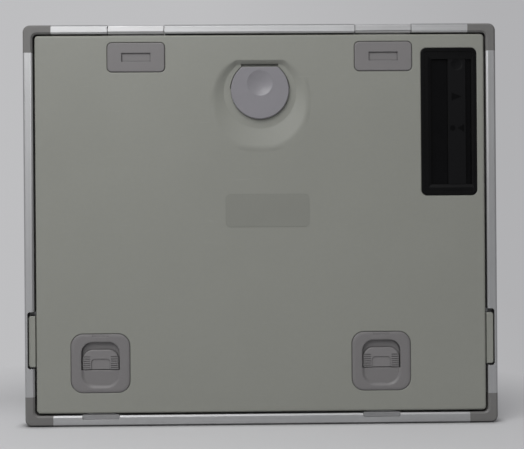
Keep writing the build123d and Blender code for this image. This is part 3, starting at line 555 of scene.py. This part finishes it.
def dress_nodes():
    """Give each node its own material, or else that of its slot; foam and felt are pieces made below."""
    for subpart in frame["record"]["subparts"]:
        name = subpart["node"]
        material = OWN_MATERIAL.get(name, PAINT.get(subpart["material_slot"]))
        if material:
            dress(NODES[name], material)


dress_nodes()


# ---------------------------------------------------------------- pieces made here
Y_AXIS = Vector((0, 1, 0))
CLOSE = 0.001 * MM          # points nearer than this are one
LEVEL = 0.01 * MM           # points whose Y differs by less than this are at one level


def new_piece(name, mesh, material, body):
    piece = bpy.data.objects.new(name, mesh)
    bpy.context.scene.collection.objects.link(piece)
    dress(piece, material)
    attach(piece, body)
    return piece


def from_bmesh(name, shape):
    mesh = bpy.data.meshes.new(name)
    shape.to_mesh(mesh)
    shape.free()
    return mesh


def rounded_outline(x0, x1, z0, z1, radius, steps=6):
    """Points of a rounded rectangle, anticlockwise as seen from -Y."""
    corners = ((x1 - radius, z1 - radius, 0), (x0 + radius, z1 - radius, 90),
               (x0 + radius, z0 + radius, 180), (x1 - radius, z0 + radius, 270))
    points = []
    for x, z, start in corners:
        for step in range(steps + 1):
            turn = math.radians(start + 90 * step / steps)
            points.append((x + radius * math.cos(turn), z + radius * math.sin(turn)))
    return points


def plate(outline, front, back, bevel=0.0):
    """Thin plate between two Y levels, with a small bevel round its front."""
    shape = bmesh.new()
    face = shape.faces.new([shape.verts.new((x, back, z)) for x, z in outline])
    moved = bmesh.ops.extrude_face_region(shape, geom=[face])["geom"]
    top = [item for item in moved if isinstance(item, bmesh.types.BMVert)]
    bmesh.ops.translate(shape, vec=(0, front - back, 0), verts=top)
    if bevel:
        rim = [edge for edge in shape.edges if all(vert in top for vert in edge.verts)]
        bmesh.ops.bevel(shape, geom=rim, offset=bevel, segments=2, affect="EDGES")
    bmesh.ops.recalc_face_normals(shape, faces=shape.faces)
    return shape


LABEL_X, LABEL_Z = 4.7 * MM, 148.1 * MM
LABEL_W, LABEL_H = 57.6 * MM, 22.6 * MM
LABEL_R = 3.2 * MM
LABEL_T = 0.12 * MM
LABEL_BEVEL = 0.04 * MM


def bare_label():
    """Bare plate in the middle of the lid."""
    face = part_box("lid_shell")[0].y
    outline = rounded_outline(LABEL_X - LABEL_W / 2, LABEL_X + LABEL_W / 2,
                              LABEL_Z - LABEL_H / 2, LABEL_Z + LABEL_H / 2, LABEL_R)
    mesh = from_bmesh("label", plate(outline, face - LABEL_T, face, LABEL_BEVEL))
    film = moulded("label_film", shade(LID_GREY, 0.90), 0.4,
                   grain=0.15 * MM, grain_depth=0.002 * MM, edge=0.05 * MM)
    new_piece("label", mesh, film, "lid")


MARK_T = 0.08 * MM
UPPER_ROW, LOWER_ROW = 27.5 * MM, 49.4 * MM         # rows of marks, below the shutter's top
RIGHT_ARROW = (-3.7 * MM, 3.6 * MM)     # foot and tip, from the shutter's middle
LEFT_ARROW = (5.0 * MM, 0.4 * MM)
ARROW_HALF = 2.8 * MM                   # half of its height
DOT_X, DOT_R = -3.0 * MM, 1.9 * MM
DOT_ROUNDING = 0.999        # just short of a full circle, so that no two of its points meet


def arrow(middle, foot, tip, z):
    """Outline of a triangle that points along X."""
    return [(middle + foot, z - ARROW_HALF), (middle + tip, z), (middle + foot, z + ARROW_HALF)]


def shutter_marks():
    """Arrow to the right near the top, and a dot with an arrow to the left below it, just proud."""
    low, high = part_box("id_shutter")
    middle = (low.x + high.x) / 2
    upper, lower = high.z - UPPER_ROW, high.z - LOWER_ROW
    dot_x = middle + DOT_X
    marks = {
        "shutter_arrow_right": arrow(middle, *RIGHT_ARROW, upper),
        "shutter_arrow_left": arrow(middle, *LEFT_ARROW, lower),
        "shutter_dot": rounded_outline(dot_x - DOT_R, dot_x + DOT_R, lower - DOT_R, lower + DOT_R,
                                       DOT_R * DOT_ROUNDING, steps=8),
    }
    ink = moulded("shutter_marks", shade(BLACK, 0.6), 0.5, specular=0.08, edge=0.05 * MM)
    for name, outline in marks.items():
        mesh = from_bmesh(name, plate(outline, low.y - MARK_T, low.y))
        new_piece(name, mesh, ink, "id_shutter")


def copied_mesh(node):
    """Editable copy of a node's mesh with its doubled corners joined."""
    shape = bmesh.new()
    shape.from_mesh(NODES[node].data)
    bmesh.ops.remove_doubles(shape, verts=shape.verts, dist=CLOSE)
    bmesh.ops.dissolve_limit(shape, angle_limit=math.radians(1), verts=shape.verts, edges=shape.edges)
    return shape


def cut(shape, at, normal):
    """Cut every face that crosses this plane."""
    everything = shape.verts[:] + shape.edges[:] + shape.faces[:]
    bmesh.ops.bisect_plane(shape, geom=everything, dist=CLOSE, plane_co=at, plane_no=normal)


def cut_across(shape, pitch):
    """Cut the mesh at this pitch along X and Z, so that it can be bent and made uneven."""
    bmesh.ops.triangulate(shape, faces=shape.faces)
    for axis, normal in ((0, Vector((1, 0, 0))), (2, Vector((0, 0, 1)))):
        levels = [vert.co[axis] for vert in shape.verts]
        for step in range(1, int((max(levels) - min(levels)) / pitch)):
            cut(shape, normal * (min(levels) + step * pitch), normal)
    for face in shape.faces:
        face.smooth = True
    shape.normal_update()


def drift(point, size):
    """Smooth unevenness from 0 to 1, with swells of about this size."""
    return 0.5 + 0.5 * smooth_noise.noise(point / size)


def foam_pad():
    """Foam pad under the back screen: crowned, with its cut sides pulled in and slightly uneven."""
    rounding, pitch = 0.9 * MM, 8 * MM
    waist_depth, side_drift = 0.5 * MM, 0.4 * MM
    crown_width, crown_drop, top_drift = 14 * MM, 0.3 * MM, 0.1 * MM
    low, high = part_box("pressure_pad")
    middle = (low.y + high.y) / 2
    shape = copied_mesh("pressure_pad")
    rims = [edge for edge in shape.edges if abs(edge.verts[0].co.y - edge.verts[1].co.y) < LEVEL]
    bmesh.ops.bevel(shape, geom=rims, offset=rounding, segments=3, profile=0.5, affect="EDGES")
    cut(shape, Y_AXIS * middle, Y_AXIS)
    cut_across(shape, pitch)
    moved = {}
    for vert in shape.verts:
        point = vert.co
        outwards = Vector((vert.normal.x, 0, vert.normal.z))
        waist = 1 - ((point.y - middle) / (high.y - middle)) ** 2
        to_rim = min(point.x - low.x, high.x - point.x, point.z - low.z, high.z - point.z)
        crown = max(0.0, 1 - to_rim / crown_width) ** 2
        sunk = max(0.0, vert.normal.y) * (crown_drop * crown + top_drift * drift(point, 35 * MM))
        pulled = waist_depth * waist + side_drift * drift(point, 22 * MM)
        moved[vert] = point - outwards * pulled - Y_AXIS * sunk
    for vert, point in moved.items():
        vert.co = point
    foam = open_cell_foam("foam", (0.045, 0.045, 0.050))
    pad = new_piece("foam_pad", from_bmesh("foam_pad", shape), foam, "lid")
    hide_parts("pressure_pad")


def felt_seal():
    """Felt strip on the ledge, rounded over and pressed a little unevenly along its length."""
    rounding, pitch = 0.45 * MM, 5 * MM
    long_press, short_press = 0.22 * MM, 0.08 * MM
    low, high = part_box("light_seal")
    shape = copied_mesh("light_seal")
    rims = [edge for edge in shape.edges if all(vert.co.y < low.y + LEVEL for vert in edge.verts)]
    bmesh.ops.bevel(shape, geom=rims, offset=rounding, segments=3, profile=0.6, affect="EDGES")
    cut_across(shape, pitch)
    for vert in shape.verts:
        height = (high.y - vert.co.y) / (high.y - low.y)
        pressed = long_press * drift(vert.co, 17 * MM) + short_press * drift(vert.co, 4 * MM)
        vert.co.y += height * pressed
    felt = wool_felt("felt", (0.020, 0.020, 0.021))
    seal = new_piece("felt_seal", from_bmesh("felt_seal", shape), felt, "frame")
    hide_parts("light_seal")


bare_label()
shutter_marks()
foam_pad()
felt_seal()


# ---------------------------------------------------------------- room and light
FLOOR_GREY = (0.590, 0.590, 0.600)
WALL_LEFT, WALL_RIGHT = (0.512, 0.512, 0.524), (0.434, 0.434, 0.446)
WALL_Y, WALL_TOP, SWEEP = 3.0, 1.7, 0.8
SWEEP_STEPS = 12
FLOOR_HALF = 6.0
LIT_X = -0.05               # middle of the patch of floor that the lamp lights
LIT_EDGE = (0.18, 0.36)     # from that middle, where the lit paper gives way to an even grey
BAND_FRONT, BAND_BACK = (0.03, 0.10), (0.22, 0.12)      # Y of the band of shade, fading in at both sides
BAND_RIGHT_TO_LEFT = (0.15, -0.15)
# reach and depth of the painted contact shadow on the paper at the object's foot
CONTACT_SHADOW_REACH, CONTACT_SHADOW_DEPTH = 9 * MM, 0.85
TONE_RIGHTWARD = (-0.04, 0.22)          # X over distance, from the left tone to the right one
TONE_STARTS = (-1.6, -0.8)              # Y, behind which the paper keeps the left tone
ROOM_UP = Vector((-0.35, -0.10, 0.93)).normalized()
ROOM_SPAN = (-0.1, 0.9)     # how far a direction points up, from the dim part to the bright one
ROOM_DIM, ROOM_BRIGHT = (0.15, 0.15, 0.153), (0.42, 0.42, 0.43)
SIDE_SPAN = (0.45, 1.0)     # how far a direction points sideways, where it is mirrored paler
SIDE_PALER = 0.10           # share of white at most
KEY_AT, KEY_AIM = (-0.388, -0.765, 1.030), (0, 0, 0.15)
KEY_SIZE, KEY_WATTS = 1.0, 13.0


def seen_directly(made):
    """1 where a surface is seen straight on, in a mirror or through glass, 0 where it only lights things."""
    rays = add_node(made, "ShaderNodeLightPath")
    seen = combine(made, "MAXIMUM", rays.outputs["Is Camera Ray"], rays.outputs["Is Glossy Ray"])
    return combine(made, "MAXIMUM", seen, rays.outputs["Is Transmission Ray"])


def wall_tone(made, x, y):
    """Grey of the far paper, with painted shade that makes it a shade darker to the right of the object."""
    away = combine(made, "ADD", combine(made, "ABSOLUTE", y), 1.0)
    sideways = times(made, combine(made, "DIVIDE", x, away), spread(made, y, *TONE_STARTS))
    return blend_colours(made, spread(made, sideways, *TONE_RIGHTWARD), WALL_LEFT, WALL_RIGHT)


def paper_tone(made, x, y):
    """Pale paper with a soft band of shade just behind the object, deeper to the left, and painted contact
    shadow where it meets the object.
    """
    band = times(made, spread(made, y, *BAND_FRONT), spread(made, y, *BAND_BACK))
    band = times(made, band, spread(made, x, *BAND_RIGHT_TO_LEFT, 0.2, 1.0))
    paper = blend_colours(made, band, FLOOR_GREY, shade(FLOOR_GREY, 0.90))
    # painted contact shadow at the foot of the object
    return painted_corner_shade(made, paper, CONTACT_SHADOW_REACH, CONTACT_SHADOW_DEPTH)


def backdrop_paper(name):
    """Pale paper that is lit near the object and of an even grey further off."""
    made = surface(name, FLOOR_GREY, 0.8)
    x, y, _ = position(made)
    set_colour(made, paper_tone(made, x, y))
    glow = add_node(made, "ShaderNodeEmission")
    connect(made, wall_tone(made, x, y), glow.inputs["Color"])
    from_object = distance(made, combine(made, "SUBTRACT", x, LIT_X), y)
    far = times(made, spread(made, from_object, *LIT_EDGE), seen_directly(made))
    mixed = add_node(made, "ShaderNodeMixShader")
    connect(made, far, mixed.inputs[0])
    connect(made, made.node_tree.nodes["Principled BSDF"].outputs[0], mixed.inputs[1])
    connect(made, glow.outputs[0], mixed.inputs[2])
    connect(made, mixed.outputs[0], made.node_tree.nodes["Material Output"].inputs["Surface"])
    return made


def studio_floor():
    """Pale floor that sweeps up into a far wall."""
    profile = [(-FLOOR_HALF, 0.0)]
    for step in range(SWEEP_STEPS + 1):
        turn = math.radians(90 * step / SWEEP_STEPS)
        profile.append((WALL_Y - SWEEP + SWEEP * math.sin(turn), SWEEP - SWEEP * math.cos(turn)))
    profile.append((WALL_Y, WALL_TOP))
    shape = bmesh.new()
    rows = [[shape.verts.new((x, y, z)) for x in (-FLOOR_HALF, FLOOR_HALF)] for y, z in profile]
    for near, far in zip(rows, rows[1:]):
        face = shape.faces.new((near[0], near[1], far[1], far[0]))
        face.smooth = True
    floor = bpy.data.objects.new("studio_floor", from_bmesh("studio_floor", shape))
    bpy.context.scene.collection.objects.link(floor)
    dress(floor, backdrop_paper("studio_floor"))


def soft_box(name, at, aim, size, watts):
    """Square area lamp that the camera doesn't see."""
    data = bpy.data.lights.new(name, "AREA")
    data.shape = "SQUARE"
    data.size = size
    data.energy = watts
    lamp = bpy.data.objects.new(name, data)
    lamp.location = at
    lamp.rotation_euler = (Vector(aim) - Vector(at)).to_track_quat("-Z", "Y").to_euler()
    lamp.visible_camera = False
    bpy.context.scene.collection.objects.link(lamp)


def room_light():
    """World light from above and a little from the left, paler at both sides for what mirrors it.

    The camera sees it as plain grey."""
    world = bpy.data.worlds.new("room")
    bpy.context.scene.world = world
    world.use_nodes = True
    rays = add_node(world, "ShaderNodeLightPath")
    heading = add_node(world, "ShaderNodeTexCoord").outputs["Generated"]
    parts = add_node(world, "ShaderNodeSeparateXYZ")
    connect(world, heading, parts.inputs["Vector"])
    upward = spread(world, dot_product(world, heading, ROOM_UP), *ROOM_SPAN)
    lit = blend_colours(world, upward, ROOM_DIM, ROOM_BRIGHT)
    aside = spread(world, combine(world, "ABSOLUTE", parts.outputs["X"]), *SIDE_SPAN, 0.0, SIDE_PALER)
    lit = blend_colours(world, times(world, aside, rays.outputs["Is Glossy Ray"]), lit, WHITE)
    seen = blend_colours(world, rays.outputs["Is Camera Ray"], lit, WALL_LEFT)
    connect(world, seen, world.node_tree.nodes["Background"].inputs["Color"])


studio_floor()
soft_box("key", KEY_AT, KEY_AIM, KEY_SIZE, KEY_WATTS)
room_light()
